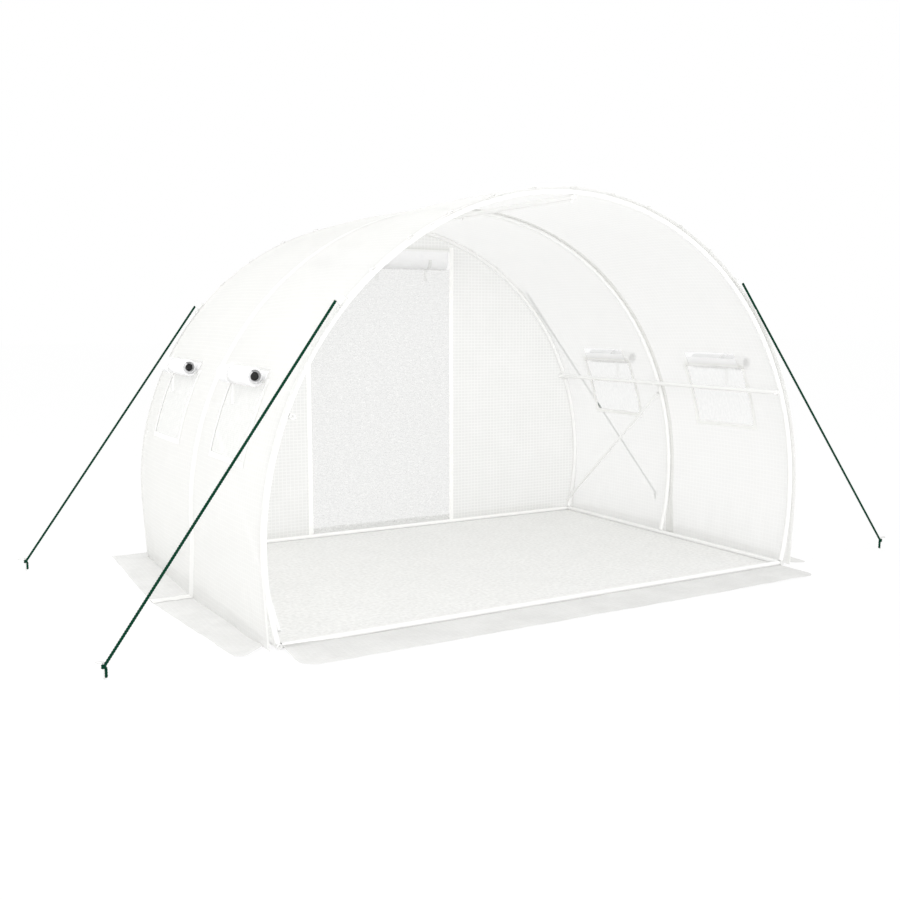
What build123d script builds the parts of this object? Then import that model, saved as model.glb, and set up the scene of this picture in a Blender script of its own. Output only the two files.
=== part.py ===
from build123d import *
import os
from math import asin
from math import cos
from math import degrees
from math import radians
from math import sin

# A walk-in polytunnel greenhouse: three steel hoops on a base frame, three long
# rails, two braces, and a fitted woven cover with rolled-up windows. The front
# end is open. X runs across the tunnel, Y runs from the open front (-Y) to the
# closed rear (+Y), Z is up, and the origin is on the ground under the middle.
os.makedirs("parts", exist_ok=True)

# The size it is sold by, measured on the centre lines of the tubes.
tunnel_width = 3000
tunnel_length = 2000
tunnel_height = 1987.5
bay_length = tunnel_length / 2

# Tubes of the frame.
tube_radius = 12.5
tube_wall = 1.0
brace_radius = 8
fit_gap = 0.3
rail_overhang = 18

# The hoop is one circular arc through both feet and the crown.
crown_z = tunnel_height - tube_radius
rail_z = tube_radius
hoop_rise = crown_z - rail_z
hoop_radius = ((tunnel_width / 2) ** 2 + hoop_rise ** 2) / (2 * hoop_rise)
hoop_centre_z = crown_z - hoop_radius
base_angle = -degrees(asin((hoop_centre_z - rail_z) / hoop_radius))
foot_angle = base_angle + degrees(asin((tube_radius + fit_gap) / hoop_radius))
tunnel_axis = Axis((0, 0, hoop_centre_z), (0, -1, 0))

# The cover. It is held by the hoops and is cut a little full, so it swells between them.
cloth = 2
fullness = 18
front_overhang = 30
rear_overhang = tube_radius + fit_gap
skirt_turn_angle = -4
cover_radius = hoop_radius + tube_radius + fit_gap
wall_foot_end = 1545
wall_foot_bay = 1566
wall_foot_middle = 1580
hem_thickness = 2
seam_width = 70

# The windows, one in each bay on each side.
window_width = 440
window_bottom_angle = 12.6
window_top_angle = 25.4
binding_width = 25
window_roll_radius = 48
window_roll_length = 440
roll_bore_radius = 19
strap_width = 25
strap_offset = 50

# The rear wall and its door.
door_width = 1030
header_drop = 152.5
door_height = tunnel_height - header_drop
door_roll_radius = 58
door_roll_length = 1000
door_roll_drop = 73
door_roll_z = door_height - door_roll_drop
door_strap_spacing = 360

# The skirts that lie on the ground round the foot of the cover.
rail_tuck = 8
side_skirt_front_reach = 190
side_skirt_middle_reach = 280
side_skirt_rear_reach = 235
side_skirt_front = 120
side_skirt_notch = 25
side_skirt_rear = 110
end_skirt_reach = 275
skirt_corner_radius = 60

# The guy ropes and their pegs. The two sides are staked out a little differently.
rope_radius = 5
rope_ring_radius = 14
rope_ring_thickness = 4.5
tab_base = 60
tab_reach = 35
tab_round = 14
eyelet_radius = 6.5
left_rope_angle = 41
right_rope_angle = 46.5
left_peg_x = 2215
right_peg_x = 2345
peg_radius = 3.5
peg_height = 70
peg_bend = 8
peg_arm = 24
wrap_radius = 7
knot_radius = 9
rope_foot_z = 50


def hoop_plane(angle):
    """Plane that holds the tunnel's axis, with its X pointing out at this angle."""
    out = (cos(radians(angle)), 0, sin(radians(angle)))
    up = (-sin(radians(angle)), 0, cos(radians(angle)))
    return Plane(origin=(0, 0, hoop_centre_z), x_dir=out, z_dir=up)


def cross_plane(y, angle=0):
    """Plane across the tunnel at this Y, with its X pointing out at this angle."""
    out = (cos(radians(angle)), 0, sin(radians(angle)))
    return Plane(origin=(0, y, hoop_centre_z), x_dir=out, z_dir=(0, -1, 0))


def ground_plane(side, height):
    """Level plane whose X points outwards on this side of the tunnel."""
    return Plane(origin=(0, 0, height), x_dir=(side, 0, 0), z_dir=(0, 0, side))


def polar(radius, angle):
    """Point across the tunnel, seen from the tunnel's axis."""
    return (radius * cos(radians(angle)), radius * sin(radians(angle)))


def fullness_at(distance):
    """How far the cover stands out at this distance from the middle of a bay."""
    return fullness * (1 - (distance / ((bay_length - seam_width / 2) / 2)) ** 2)


def save(name, piece):
    """Labels one finished piece and writes it out."""
    piece.part.label = name
    export_step(piece.part, "parts/" + name + ".step")


# The steel frame, from the hoops to the braces.
for hoop_name, hoop_y in (("front", -bay_length), ("middle", 0), ("rear", bay_length)):
    with BuildPart() as arch:
        with BuildSketch(hoop_plane(foot_angle)):
            with Locations((hoop_radius, hoop_y)):
                Circle(tube_radius)
                Circle(tube_radius - tube_wall, mode=Mode.SUBTRACT)
        revolve(axis=tunnel_axis, revolution_arc=180 - 2 * foot_angle)
    save(hoop_name + "_arch", arch)

# The ridge and side rails are bolted inside the hoops, and stop at the rear wall.
inner_rail_radius = hoop_radius - 2 * tube_radius - fit_gap
side_rail_angle = 21.5
long_rail_front = -bay_length - rail_overhang
long_rail_rear = bay_length + tube_radius
for rail_name, rail_angle in (
    ("ridge_rail", 90),
    ("right_side_rail", side_rail_angle),
    ("left_side_rail", 180 - side_rail_angle),
):
    with BuildPart() as long_rail:
        with BuildSketch(cross_plane(long_rail_front)):
            with Locations(polar(inner_rail_radius, rail_angle)):
                Circle(tube_radius)
                Circle(tube_radius - tube_wall, mode=Mode.SUBTRACT)
        extrude(amount=-(long_rail_rear - long_rail_front))
    save(rail_name, long_rail)

for rail_name, side in (("left_base_rail", -1), ("right_base_rail", 1)):
    with BuildPart() as side_base:
        with BuildSketch(Plane(origin=(0, long_rail_front, 0), x_dir=(1, 0, 0), z_dir=(0, -1, 0))):
            with Locations((side * tunnel_width / 2, rail_z)):
                Circle(tube_radius)
                Circle(tube_radius - tube_wall, mode=Mode.SUBTRACT)
        extrude(amount=-(long_rail_rear - long_rail_front))
    save(rail_name, side_base)

cross_rail_half = tunnel_width / 2 - tube_radius - fit_gap
for rail_name, rail_y in (("front_base_rail", -bay_length), ("rear_base_rail", bay_length)):
    with BuildPart() as cross_base:
        with BuildSketch(Plane(origin=(0, rail_y, rail_z), x_dir=(0, 1, 0), z_dir=(1, 0, 0))):
            Circle(tube_radius)
            Circle(tube_radius - tube_wall, mode=Mode.SUBTRACT)
        extrude(amount=cross_rail_half, both=True)
    save(rail_name, cross_base)

# Each brace runs from a side rail's joint on the middle hoop down to a corner foot.
brace_seat_radius = hoop_radius - tube_radius - brace_radius - 2 * fit_gap
brace_top_angle = side_rail_angle - 2.6
brace_foot_angle = base_angle + 2.2
for brace_name, side, foot_y in (
    ("left_brace", -1, -bay_length),
    ("right_brace", 1, bay_length),
):
    top_x, top_z = polar(brace_seat_radius, brace_top_angle)
    foot_x, foot_z = polar(brace_seat_radius, brace_foot_angle)
    brace_top = Vector(side * top_x, 0, hoop_centre_z + top_z)
    brace_foot = Vector(side * foot_x, foot_y, hoop_centre_z + foot_z)
    brace_run = brace_top - brace_foot
    with BuildPart() as brace:
        with BuildSketch(Plane(origin=brace_foot, z_dir=brace_run)):
            Circle(brace_radius)
            Circle(brace_radius - tube_wall, mode=Mode.SUBTRACT)
        extrude(amount=brace_run.length)
    save(brace_name, brace)


def bay_section(end, bay, middle, direction, overhang, thickness):
    """Section along one bay: flat at the end hoop and under the seam, and full between."""
    edge_y = direction * (bay_length + overhang)
    hoop_y = direction * bay_length
    seam_y = direction * seam_width / 2
    mid_y = (hoop_y + seam_y) / 2
    with BuildSketch(Plane.XY, mode=Mode.PRIVATE) as section:
        with BuildLine():
            Line((end, edge_y), (end, hoop_y))
            ThreePointArc((end, hoop_y), (bay, mid_y), (middle, seam_y))
            Line((middle, seam_y), (middle, 0))
            Line((middle, 0), (middle + thickness, 0))
            Line((middle + thickness, 0), (middle + thickness, seam_y))
            ThreePointArc(
                (middle + thickness, seam_y), (bay + thickness, mid_y), (end + thickness, hoop_y)
            )
            Line((end + thickness, hoop_y), (end + thickness, edge_y))
            Line((end + thickness, edge_y), (end, edge_y))
        make_face()
    return section.sketch


def window_block(radius, angle, direction, width, low, high):
    """Block through the cover wall, between two angles, in the middle of one bay."""
    with BuildPart(mode=Mode.PRIVATE) as block:
        with BuildSketch(hoop_plane(low if angle < 90 else 180 - high)):
            with Locations((radius, direction * bay_length / 2)):
                Rectangle(6 * fullness, width)
        revolve(axis=tunnel_axis, revolution_arc=high - low)
    return block.part


bays = (("front", -1, front_overhang), ("rear", 1, rear_overhang))
for bay_name, direction, overhang in bays:
    tight_section = bay_section(
        cover_radius, cover_radius + fullness, cover_radius, direction, overhang, cloth
    )
    foot_section = bay_section(
        wall_foot_end, wall_foot_bay, wall_foot_middle, direction, overhang, cloth
    )
    with BuildPart() as cover_bay:
        with BuildSketch(hoop_plane(skirt_turn_angle)):
            add(tight_section)
        revolve(axis=tunnel_axis, revolution_arc=180 - 2 * skirt_turn_angle)
        for side, turn in ((1, skirt_turn_angle), (-1, 180 - skirt_turn_angle)):
            with BuildSketch(hoop_plane(turn)):
                add(tight_section)
            with BuildSketch(ground_plane(side, cloth)):
                add(foot_section)
            loft()
        for angle in (0, 180):
            add(
                window_block(
                    cover_radius, angle, direction, window_width, window_bottom_angle, window_top_angle
                ),
                mode=Mode.SUBTRACT,
            )
    save("cover_" + bay_name + "_bay", cover_bay)

# The bands that are sewn over the cover: the middle seam and the two end hems.
band_radius = cover_radius + cloth + fit_gap
rope_front_y = -bay_length - front_overhang / 2
rope_rear_y = bay_length + rear_overhang / 2
bands = (
    ("middle_seam_band", -seam_width / 2, seam_width / 2, wall_foot_middle, None),
    ("front_hem", -bay_length - front_overhang, -bay_length, wall_foot_end, rope_front_y),
    ("rear_hem", bay_length, bay_length + rear_overhang + cloth, wall_foot_end, rope_rear_y),
)
for band_name, band_from, band_to, foot_x, tab_y in bands:
    band_middle = (band_from + band_to) / 2
    band_width = band_to - band_from
    with BuildPart() as band:
        with BuildSketch(hoop_plane(skirt_turn_angle)):
            with Locations((band_radius + hem_thickness / 2, band_middle)):
                Rectangle(hem_thickness, band_width)
        revolve(axis=tunnel_axis, revolution_arc=180 - 2 * skirt_turn_angle)
        for side, turn in ((1, skirt_turn_angle), (-1, 180 - skirt_turn_angle)):
            with BuildSketch(hoop_plane(turn)):
                with Locations((band_radius + hem_thickness / 2, band_middle)):
                    Rectangle(hem_thickness, band_width)
            with BuildSketch(ground_plane(side, cloth)):
                with Locations((foot_x + cloth + fit_gap + hem_thickness / 2, band_middle)):
                    Rectangle(hem_thickness, band_width)
            loft()
        if tab_y is None:
            for side in (-1, 1):
                seam_foot = foot_x + cloth + fit_gap
                seam_end = tunnel_width / 2 + side_skirt_middle_reach - hem_thickness
                with BuildSketch(Plane(origin=(0, 0, cloth))):
                    with Locations((side * (seam_foot + seam_end) / 2, band_middle)):
                        Rectangle(seam_end - seam_foot, band_width)
                extrude(amount=hem_thickness)
        else:
            for tab_angle in (180 - left_rope_angle, right_rope_angle):
                with BuildSketch(cross_plane(tab_y - cloth / 2, tab_angle)):
                    with Locations((band_radius + hem_thickness * 0.6, 0)):
                        Rectangle(hem_thickness * 0.6, tab_base)
                    with Locations((band_radius + tab_reach, 0)):
                        Circle(tab_round)
                    make_hull()
                    with Locations((band_radius + tab_reach, 0)):
                        Circle(eyelet_radius, mode=Mode.SUBTRACT)
                extrude(amount=-cloth)
    save(band_name, band)

# Each window is a mesh screen in the cover, a sewn binding round it, and the
# flap rolled up above it and tied with one strap.
binding_angle = degrees(binding_width / cover_radius)
outer_low = window_bottom_angle - binding_angle
outer_high = window_top_angle + binding_angle
outer_width = window_width + 2 * binding_width
roll_angle = window_top_angle + binding_angle / 2
roll_seat = band_radius + fullness + hem_thickness + fit_gap
roll_centre_radius = roll_seat + window_roll_radius
strap_foot_radius = band_radius + fullness_at(strap_offset) + hem_thickness / 2
strap_gap = roll_centre_radius - window_roll_radius - strap_foot_radius
strap_inner = window_roll_radius + fit_gap
strap_tail = 90
strap_tail_offset = 12
for bay_name, direction, overhang in bays:
    bay_middle_y = direction * bay_length / 2
    screen_section = bay_section(
        cover_radius, cover_radius + fullness, cover_radius, direction, overhang, cloth / 2
    )
    binding_section = bay_section(
        band_radius, band_radius + fullness, band_radius, direction, overhang, hem_thickness
    )
    for side_name, side, angle in (("left", -1, 180), ("right", 1, 0)):
        window_name = "window_" + side_name + "_" + bay_name

        with BuildPart() as screen:
            with BuildSketch(hoop_plane(window_bottom_angle if side > 0 else 180 - window_top_angle)):
                add(screen_section)
            revolve(axis=tunnel_axis, revolution_arc=window_top_angle - window_bottom_angle)
            add(
                window_block(
                    cover_radius,
                    angle,
                    direction,
                    window_width - 2 * fit_gap,
                    window_bottom_angle,
                    window_top_angle,
                ),
                mode=Mode.INTERSECT,
            )
        save(window_name + "_screen", screen)

        with BuildPart() as binding:
            with BuildSketch(hoop_plane(outer_low if side > 0 else 180 - outer_high)):
                add(binding_section)
            revolve(axis=tunnel_axis, revolution_arc=outer_high - outer_low)
            add(
                window_block(band_radius, angle, direction, outer_width, outer_low, outer_high),
                mode=Mode.INTERSECT,
            )
            add(
                window_block(
                    band_radius, angle, direction, window_width, window_bottom_angle, window_top_angle
                ),
                mode=Mode.SUBTRACT,
            )
            roll_x, roll_z = polar(roll_centre_radius, roll_angle)
            strap_y = bay_middle_y - side * strap_offset
            with BuildSketch(cross_plane(strap_y - strap_width / 2)):
                with Locations((side * roll_x, roll_z)):
                    Circle(strap_inner + hem_thickness)
                tail_drop = (strap_inner ** 2 - strap_tail_offset ** 2) ** 0.5
                with Locations(
                    (side * (roll_x + strap_tail_offset), roll_z - tail_drop - strap_tail / 2)
                ):
                    Rectangle(hem_thickness, strap_tail)
                with Locations((side * roll_x, roll_z)):
                    Circle(strap_inner, mode=Mode.SUBTRACT)
            extrude(amount=-strap_width)
            tongue_angle = roll_angle if side > 0 else 180 - roll_angle
            with BuildSketch(cross_plane(strap_y - strap_width / 2, tongue_angle)):
                with Locations((strap_foot_radius + strap_gap / 2 - fit_gap, 0)):
                    Rectangle(strap_gap, strap_width / 2)
                with Locations((roll_centre_radius, 0)):
                    Circle(strap_inner, mode=Mode.SUBTRACT)
            extrude(amount=-strap_width)
        save(window_name + "_binding", binding)

        with BuildPart() as roll:
            with BuildSketch(cross_plane(bay_middle_y - window_roll_length / 2)):
                with Locations((side * roll_x, roll_z)):
                    Circle(window_roll_radius)
                    Circle(roll_bore_radius, mode=Mode.SUBTRACT)
            extrude(amount=-window_roll_length)
        save(window_name + "_roll", roll)


# The rear wall and its zipped door.
rear_face_y = bay_length + rear_overhang + cloth
wall_radius = cover_radius + cloth
wall_bottom = cloth - hoop_centre_z
door_top = door_height - hoop_centre_z

with BuildPart() as rear_wall:
    with BuildSketch(cross_plane(rear_face_y)):
        with BuildLine():
            right_turn = polar(wall_radius, skirt_turn_angle)
            left_turn = polar(wall_radius, 180 - skirt_turn_angle)
            ThreePointArc(right_turn, (0, wall_radius), left_turn)
            Line(left_turn, (-wall_foot_end - cloth, wall_bottom))
            Line((-wall_foot_end - cloth, wall_bottom), (wall_foot_end + cloth, wall_bottom))
            Line((wall_foot_end + cloth, wall_bottom), right_turn)
        make_face()
        with Locations((0, (wall_bottom + door_top) / 2)):
            Rectangle(door_width, door_top - wall_bottom, mode=Mode.SUBTRACT)
    extrude(amount=cloth)
save("rear_wall", rear_wall)

with BuildPart() as door_screen:
    with BuildSketch(cross_plane(rear_face_y - cloth / 2)):
        with Locations((0, (wall_bottom + door_top - fit_gap) / 2)):
            Rectangle(door_width - 2 * fit_gap, door_top - fit_gap - wall_bottom)
    extrude(amount=cloth / 2)
save("rear_door_screen", door_screen)

door_strap_inner = door_roll_radius + fit_gap
door_roll_y = rear_face_y + fit_gap + hem_thickness + door_strap_inner
with BuildPart() as door_binding:
    with BuildSketch(cross_plane(rear_face_y + hem_thickness)):
        for side in (-1, 1):
            with Locations((side * door_width / 2, (wall_bottom + door_top) / 2)):
                Rectangle(binding_width, door_top - wall_bottom)
        with Locations((0, door_top)):
            Rectangle(door_width + binding_width, binding_width)
        for strap_x in (-door_strap_spacing, 0, door_strap_spacing):
            with Locations((strap_x, (door_top + door_roll_z - hoop_centre_z) / 2)):
                Rectangle(strap_width, door_top - (door_roll_z - hoop_centre_z))
    extrude(amount=hem_thickness)
    for strap_x in (-door_strap_spacing, 0, door_strap_spacing):
        with BuildSketch(
            Plane(origin=(strap_x - strap_width / 2, door_roll_y, door_roll_z), z_dir=(1, 0, 0))
        ):
            Circle(door_strap_inner + hem_thickness)
            Circle(door_strap_inner, mode=Mode.SUBTRACT)
        extrude(amount=strap_width)
save("rear_door_binding", door_binding)

with BuildPart() as door_roll:
    with BuildSketch(Plane(origin=(0, door_roll_y, door_roll_z), z_dir=(1, 0, 0))):
        Circle(door_roll_radius)
        Circle(roll_bore_radius, mode=Mode.SUBTRACT)
    extrude(amount=door_roll_length / 2, both=True)
save("rear_door_roll", door_roll)


# The sheet on the ground and the skirts.
sheet_half_width = tunnel_width / 2 - rail_tuck
sheet_half_length = tunnel_length / 2 - rail_tuck

with BuildPart() as ground_sheet:
    with BuildSketch():
        Rectangle(2 * sheet_half_width, 2 * sheet_half_length)
    extrude(amount=cloth)
save("ground_sheet", ground_sheet)

side_skirt_inner = tunnel_width / 2 + rail_tuck
for skirt_name, side in (("left_skirt", -1), ("right_skirt", 1)):
    notch = (side * side_skirt_inner, -bay_length + side_skirt_notch)
    front_corner = (side * (tunnel_width / 2 + side_skirt_front_reach), -bay_length - side_skirt_front)
    widest = (side * (tunnel_width / 2 + side_skirt_middle_reach), 0)
    rear_corner = (side * (tunnel_width / 2 + side_skirt_rear_reach), bay_length + side_skirt_rear)
    rear_end = (side * side_skirt_inner, bay_length + side_skirt_rear)
    with BuildPart() as side_skirt:
        with BuildSketch() as outline:
            with BuildLine():
                Line(notch, front_corner)
                ThreePointArc(front_corner, widest, rear_corner)
                Line(rear_corner, rear_end)
                Line(rear_end, notch)
            make_face()
            fillet(outline.vertices().sort_by(Axis.Y)[0], skirt_corner_radius)
        extrude(amount=cloth)
    save(skirt_name, side_skirt)

end_skirt_inner = bay_length + rail_tuck
end_skirt_outer = bay_length + end_skirt_reach
for skirt_name, direction in (("front_skirt", -1), ("rear_skirt", 1)):
    with BuildPart() as end_skirt:
        with BuildSketch() as outline:
            with Locations((0, direction * (end_skirt_inner + end_skirt_outer) / 2)):
                Rectangle(2 * sheet_half_width, end_skirt_outer - end_skirt_inner)
            corners = outline.vertices().sort_by(lambda corner: direction * corner.Y)[-2:]
            left_corner, right_corner = corners.sort_by(Axis.X)
            fillet(left_corner, skirt_corner_radius)
            right_corner = outline.vertices().sort_by(
                lambda corner: corner.X + direction * corner.Y
            )[-1]
            chamfer(right_corner, skirt_corner_radius)
        extrude(amount=cloth)
    save(skirt_name, end_skirt)


# The guy ropes and their pegs. A taut rope draws its ring against the outer edge of the eyelet.
eyelet_radius_out = band_radius + tab_reach
rope_pull = eyelet_radius - rope_ring_thickness - fit_gap
for end_name, rope_y in (("front", rope_front_y), ("rear", rope_rear_y)):
    for side_name, side, rope_angle, peg_x in (
        ("left", -1, left_rope_angle, left_peg_x),
        ("right", 1, right_rope_angle, right_peg_x),
    ):
        eyelet_x, eyelet_z = polar(eyelet_radius_out, rope_angle)
        eyelet = Vector(side * eyelet_x, rope_y, hoop_centre_z + eyelet_z)
        rope_foot = Vector(side * peg_x, rope_y, rope_foot_z)
        rope_way = (rope_foot - eyelet).normalized()
        ring_centre = eyelet + rope_way * (rope_ring_radius + rope_pull)
        rope_start = ring_centre + rope_way * rope_ring_radius
        ring_axis = Vector(0, 1, 0).cross(rope_way)

        with BuildPart() as rope:
            with BuildSketch(Plane(origin=rope_start, z_dir=rope_way)):
                Circle(rope_radius)
            extrude(amount=(rope_foot - rope_start).length)
            with BuildSketch(Plane(origin=(side * peg_x, rope_y, 0))):
                Circle(wrap_radius)
            extrude(amount=rope_foot_z)
            with Locations(rope_foot):
                Sphere(knot_radius)
            with BuildSketch(Plane(origin=(side * peg_x, rope_y, 0))):
                Circle(peg_radius + fit_gap)
            extrude(amount=2 * rope_foot_z, mode=Mode.SUBTRACT)
            with Locations(Plane(origin=ring_centre, z_dir=ring_axis)):
                Torus(rope_ring_radius, rope_ring_thickness)
        save("guy_rope_" + side_name + "_" + end_name, rope)

        with BuildPart() as peg:
            with BuildLine(
                Plane(origin=(side * peg_x, rope_y, 0), x_dir=(side, 0, 0), z_dir=(0, -side, 0))
            ) as peg_line:
                shaft = Line((0, 0), (0, peg_height - peg_bend))
                bend = JernArc(shaft @ 1, shaft % 1, peg_bend, -90)
                arm = Line(bend @ 1, bend @ 1 + bend % 1 * peg_arm)
                JernArc(arm @ 1, arm % 1, peg_bend, -60)
            with BuildSketch(Plane(origin=(side * peg_x, rope_y, 0))):
                Circle(peg_radius)
            sweep()
        save("peg_" + side_name + "_" + end_name, peg)
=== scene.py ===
import math

import bmesh
import bpy
from mathutils import Matrix, Vector, noise


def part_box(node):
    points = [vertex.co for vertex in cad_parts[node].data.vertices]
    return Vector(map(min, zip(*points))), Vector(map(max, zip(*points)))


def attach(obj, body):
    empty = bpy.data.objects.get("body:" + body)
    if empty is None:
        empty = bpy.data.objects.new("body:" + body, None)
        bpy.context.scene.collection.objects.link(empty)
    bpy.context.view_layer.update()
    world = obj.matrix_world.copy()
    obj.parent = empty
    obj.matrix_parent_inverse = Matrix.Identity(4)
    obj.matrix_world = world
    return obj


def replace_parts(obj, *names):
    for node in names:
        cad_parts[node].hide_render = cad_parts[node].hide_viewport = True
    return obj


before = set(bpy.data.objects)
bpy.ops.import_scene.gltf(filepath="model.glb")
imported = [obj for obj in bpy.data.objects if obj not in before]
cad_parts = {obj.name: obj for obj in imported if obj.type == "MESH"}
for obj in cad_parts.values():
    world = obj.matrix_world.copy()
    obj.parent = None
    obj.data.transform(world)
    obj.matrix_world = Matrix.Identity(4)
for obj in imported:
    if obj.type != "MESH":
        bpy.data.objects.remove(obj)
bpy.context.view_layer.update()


# Hoops, rails and braces. Three round hoops of 25 mm steel tube stand on a base
# frame, tied by a ridge rail, two side rails and two thin braces, all bolted
# through at the crossings and finished in white powder coat.

class Wire:
    """One socket of a finish, so that its maths reads as plain sums."""

    def __init__(self, finish, socket):
        self.finish = finish
        self.socket = socket

    def math(self, operation, *others):
        values = dict(enumerate((self, *others)))
        return self.finish.node("Math", {"operation": operation}, values)

    def __add__(self, other):
        return self.math("ADD", other)

    def __mul__(self, other):
        return self.math("MULTIPLY", other)

    def __truediv__(self, other):
        return self.math("DIVIDE", other)

    def __radd__(self, other):
        return self.math("ADD", other)

    def __rmul__(self, other):
        return self.math("MULTIPLY", other)

    def __rsub__(self, other):
        return self.finish.node("Math", {"operation": "SUBTRACT"}, {0: other, 1: self})

    def __lt__(self, other):
        return self.math("LESS_THAN", other)

    def stripe(self, pitch, width):
        """1 on a thread or a slot that comes round every pitch, 0 between."""
        return (self / pitch).math("FRACT") < width / pitch


class Finish:
    """One material. Its nodes come from one method, and its sums from Wire."""

    def __init__(self, name):
        self.material = bpy.data.materials.new(name)
        self.material.use_nodes = True
        self.tree = self.material.node_tree
        self.tree.nodes.clear()

    def node(self, kind, settings=None, sockets=None, out=0):
        made = self.tree.nodes.new("ShaderNode" + kind)
        for name, value in (settings or {}).items():
            setattr(made, name, value)
        for name, value in (sockets or {}).items():
            if isinstance(value, Wire):
                self.tree.links.new(value.socket, made.inputs[name])
            else:
                made.inputs[name].default_value = value
        return Wire(self, made.outputs[out])

    def place(self):
        """Where a point lies on the object, in metres."""
        return self.node("TexCoord", out="Object")

    def cloud(self, where, size, detail=2.0, roughness=0.5):
        """Soft mottling, from 0 to 1, with patches about this size in metres."""
        return self.node(
            "TexNoise", None, {"Vector": where, "Scale": 1 / size, "Detail": detail, "Roughness": roughness}
        )

    def flecks(self, where, size):
        """Mottling with hard contrast, from 0 to 1."""
        return self.node("MapRange", None, {0: self.cloud(where, size, 3, 0.6), 1: 0.36, 2: 0.64})

    def blend(self, share, first, second):
        """One colour turning into another."""
        colours = [c if isinstance(c, Wire) else (*c, 1) for c in (first, second)]
        return self.node(
            "Mix", {"data_type": "RGBA"}, {0: share, 6: colours[0], 7: colours[1]}, out=2
        )

    def bump(self, height, depth):
        """Relief of this depth in metres, where height runs from 0 to 1."""
        return self.node("Bump", None, {"Height": height, "Distance": depth, "Strength": 1.0})

    def cloth_axes(self, *axes):
        """Where a point lies on the flat cloth: X across, Y along, Z 1 where it is pressed clear."""
        threads = self.node("Attribute", {"attribute_name": "threads"}, out="Vector")
        return threads, *(self.node("SeparateXYZ", None, {"Vector": threads}, out=axis) for axis in axes)

    def skin(self, colour, roughness, others=None):
        """What light does on the surface itself."""
        sockets = {"Base Color": colour, "Roughness": roughness, **(others or {})}
        return self.node("BsdfPrincipled", None, sockets)

    def let_through(self, face, shade, light, through):
        """Adds the share of light that comes through from behind, in the mean colour."""
        mean = [(dark + pale) / 2 for dark, pale in zip(shade, light)]
        glow = self.node("BsdfTranslucent", None, {"Color": (*mean, 1)})
        return self.node("MixShader", None, {0: through, 1: face, 2: glow})

    def pierce(self, shader, solid):
        """The solid share of the surface is this shader, and the rest is clear."""
        clear = self.node("BsdfTransparent")
        return self.node("MixShader", None, {0: solid, 1: clear, 2: shader})

    def surface(self, shader):
        self.tree.links.new(shader.socket, self.tree.nodes.new("ShaderNodeOutputMaterial").inputs[0])
        return self.material


def powder_coat():
    """White powder coat, faintly uneven, with a fine orange peel."""
    finish = Finish("white_powder_coat")
    where = finish.place()
    patches = finish.cloud(where, 0.09, 3)
    orange_peel = finish.cloud(where, 0.0016, 1)
    colour = finish.blend(patches, (0.82, 0.82, 0.81), (0.89, 0.89, 0.88))
    others = {"Specular IOR Level": 0.5, "Normal": finish.bump(orange_peel, 0.00008)}
    return finish.surface(finish.skin(colour, 0.3 + 0.14 * patches, others))


def dress(node_names, material):
    """Gives carried-over solids this finish."""
    for node_name in node_names:
        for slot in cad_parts[node_name].material_slots:
            slot.material = material


white_tube = powder_coat()
hoops = ["front_arch", "middle_arch", "rear_arch"]
long_rails = ["ridge_rail", "left_side_rail", "right_side_rail", "left_base_rail", "right_base_rail"]
dress(hoops + long_rails + ["front_base_rail", "rear_base_rail", "left_brace", "right_brace"], white_tube)

hoop_low, hoop_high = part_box("front_arch")
hoop_out = hoop_high.x
axis_z = hoop_high.z - hoop_out
tube = hoop_high.y - hoop_low.y
front_y = (hoop_high.y + hoop_low.y) / 2
rear_y = -front_y


# Bolts and plugs of the frame. A zinc bolt goes through each rail and the hoop it
# crosses, with a flanged hex nut on the inside. A white plug is pushed into each
# open end of a rail.

def zinc():
    """Pale dulled zinc plate, in small patches."""
    finish = Finish("zinc_plate")
    patches = finish.cloud(finish.place(), 0.006, 3)
    colour = finish.blend(patches, (0.84, 0.84, 0.83), (0.93, 0.93, 0.92))
    return finish.surface(finish.skin(colour, 0.28 + 0.2 * patches, {"Metallic": 0.2}))


zinc_plate = zinc()
nut_width = 0.01
nut_height = 0.005
flange_radius = 0.0075
flange_height = 0.0016
stud_radius = 0.003
stud_reach = 0.004
tube_wall = 0.0011
plug_hole = 0.0085
plug_depth = 0.005


def bridge(shape, below, above):
    """Adds the faces between two rings of points."""
    for i in range(len(below)):
        j = (i + 1) % len(below)
        shape.faces.new((below[i], below[j], above[j], above[i]))


def turned(shape, profile, sides):
    """Adds a turned solid to the mesh: a list of (radius, height) going up."""
    around = [math.tau * i / sides for i in range(sides)]
    rings = [
        [shape.verts.new((radius * math.cos(a), radius * math.sin(a), height)) for a in around]
        for radius, height in profile
    ]
    for below, above in zip(rings, rings[1:]):
        bridge(shape, below, above)
    shape.faces.new(rings[0][::-1])
    shape.faces.new(rings[-1])


def stand(shape, foot, way):
    """Sets turned solids on their foot, with their top this way."""
    turn = Vector(way).to_track_quat("Z", "Y").to_matrix().to_4x4()
    bmesh.ops.transform(shape, matrix=Matrix.Translation(foot) @ turn, verts=shape.verts)


def make_piece(name, shape, material):
    """Turns a worked mesh into a piece that rides with the object."""
    mesh = bpy.data.meshes.new(name)
    shape.to_mesh(mesh)
    shape.free()
    mesh.shade_smooth()
    mesh.materials.append(material)
    piece = bpy.data.objects.new(name, mesh)
    bpy.context.scene.collection.objects.link(piece)
    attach(piece, "root")
    return piece


def round_off(piece, width):
    """Takes the sharpness off a metal piece's edges."""
    edge = piece.modifiers.new("edge", "BEVEL")
    edge.width = width
    edge.segments = 2


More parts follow.
